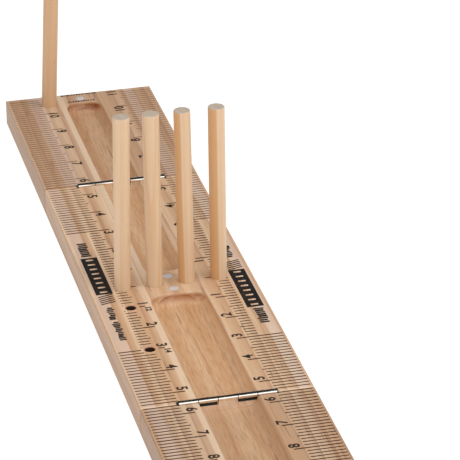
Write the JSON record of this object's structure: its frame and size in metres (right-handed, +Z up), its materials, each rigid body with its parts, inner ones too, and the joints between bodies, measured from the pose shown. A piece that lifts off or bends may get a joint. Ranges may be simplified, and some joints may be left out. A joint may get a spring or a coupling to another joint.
{
  "type": "folding ribbon loom",
  "caption": "Folding pine table loom: a long centre board hinged to two end boards, with upright dowel pegs, magnets, peg-storage troughs and printed measuring scales.",
  "frame": {"origin": "middle of the centre board's underside, which is also the middle of the whole loom laid flat", "axes": "+X across the boards, towards the side without the end peg; +Y along the boards, from the near wing to the far wing; +Z up, the way the pegs stand"},
  "size_m": [0.0952, 0.5588, 0.1222],
  "materials": {
    "pine_board": "sanded pine under a thin clear lacquer",
    "peg_dowel": "bare sanded dowel",
    "hinge_plate": "bright nickel plate",
    "hinge_pin": "bright steel",
    "screw_steel": "nickel plate",
    "magnet_disc": "satin nickel plate"
  },
  "bodies": {
    "centre": {"centre_board": "pine_board", "near_hinge_centre_leaf": "hinge_plate", "far_hinge_centre_leaf": "hinge_plate", "near_centre_leaf_screws": "screw_steel", "far_centre_leaf_screws": "screw_steel", "centre_magnet_near": "magnet_disc", "centre_magnet_far": "magnet_disc"},
    "near_end": {"near_wing": "pine_board", "near_hinge_wing_leaf": "hinge_plate", "near_hinge_pin": "hinge_pin", "near_wing_leaf_screws": "screw_steel", "near_wing_magnet": "magnet_disc"},
    "far_end": {"far_wing": "pine_board", "far_hinge_wing_leaf": "hinge_plate", "far_hinge_pin": "hinge_pin", "far_wing_leaf_screws": "screw_steel", "far_wing_magnet": "magnet_disc"},
    "first_peg": {"peg_one": "peg_dowel"},
    "second_peg": {"peg_two": "peg_dowel"},
    "third_peg": {"peg_three": "peg_dowel"},
    "fourth_peg": {"peg_four": "peg_dowel"},
    "last_peg": {"end_peg": "peg_dowel"}
  },
  "joints": [
    {"name": "near_wing_fold", "type": "hinge", "parent": "centre", "child": "near_end", "pos_m": [0, -0.1397, 0.01597], "axis": [-1, 0, 0], "range_deg": [0, 160]},
    {"name": "far_wing_fold", "type": "hinge", "parent": "centre", "child": "far_end", "pos_m": [0, 0.1397, 0.01597], "axis": [1, 0, 0], "range_deg": [0, 85]},
    {"name": "peg_one_lift", "type": "slide", "parent": "centre", "child": "first_peg", "axis": [0.0209, 0, 0.9998], "range_m": [0, 0.025]},
    {"name": "peg_two_lift", "type": "slide", "parent": "centre", "child": "second_peg", "axis": [0.0017, 0, 1], "range_m": [0, 0.025]},
    {"name": "peg_three_lift", "type": "slide", "parent": "centre", "child": "third_peg", "axis": [-0.007, 0, 1], "range_m": [0, 0.025]},
    {"name": "peg_four_lift", "type": "slide", "parent": "centre", "child": "fourth_peg", "axis": [0.0017, 0, 1], "range_m": [0, 0.025]},
    {"name": "end_peg_lift", "type": "slide", "parent": "far_end", "child": "last_peg", "axis": [0.0558, 0, 0.9984], "range_m": [0, 0.025]}
  ]
}
